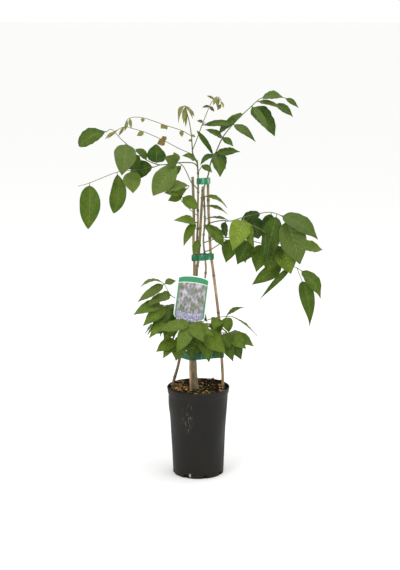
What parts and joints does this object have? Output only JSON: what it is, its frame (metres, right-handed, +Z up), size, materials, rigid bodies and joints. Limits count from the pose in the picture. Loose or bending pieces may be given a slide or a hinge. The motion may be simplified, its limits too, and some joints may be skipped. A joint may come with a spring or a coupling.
{
  "type": "potted climbing plant",
  "caption": "Young wisteria in a tall black nursery pot, its stems tied with green tape to bamboo canes, with feathery leaves to both sides and a hanging picture label.",
  "frame": {"origin": "middle of the flat base of the pot, on the ground", "axes": "+Z up along the pot's axis; the front of the plant looks along -Y; +X is the viewer's right"},
  "size_m": [0.6114, 0.2405, 0.9802],
  "materials": {
    "pot": "matte",
    "soil": "matte",
    "cane": "satin",
    "bark": "matte",
    "tape": "satin",
    "label": "satin",
    "leaf": "matte",
    "leaf_dark": "matte",
    "leaf_light": "matte",
    "young_growth": "matte"
  },
  "bodies": {
    "root": {"pot": "pot", "soil": "soil", "cane_front": "cane", "cane_left": "cane", "cane_right": "cane", "trunk": "bark", "tie_low": "tape", "tie_middle": "tape", "tie_top": "tape", "label": "label", "leafy_stem_upper_left": "leaf", "frond_left_inner": "leaf", "frond_left_middle": "leaf", "young_frond_upper": "young_growth", "young_frond_lower": "young_growth", "shoot_tip_left": "young_growth", "shoot_tip_right": "young_growth", "frond_crown_left": "leaf_dark", "frond_crown_right": "leaf_dark", "frond_upper_right": "leaf_dark", "frond_middle_right": "leaf", "frond_middle_left": "leaf", "frond_middle_front": "leaf_dark", "frond_right_upper": "leaf", "frond_right_middle": "leaf_dark", "frond_right_lower": "leaf", "frond_low_left_upper": "leaf", "frond_low_left_middle": "leaf_dark", "frond_low_front": "leaf_light", "frond_low_front_under": "leaf_dark", "frond_low_left_lower": "leaf", "frond_low_right_upper": "leaf", "frond_low_right_lower": "leaf_dark", "frond_back_left": "leaf_dark", "frond_back": "leaf", "frond_back_right": "leaf_dark"}
  },
  "joints": []
}
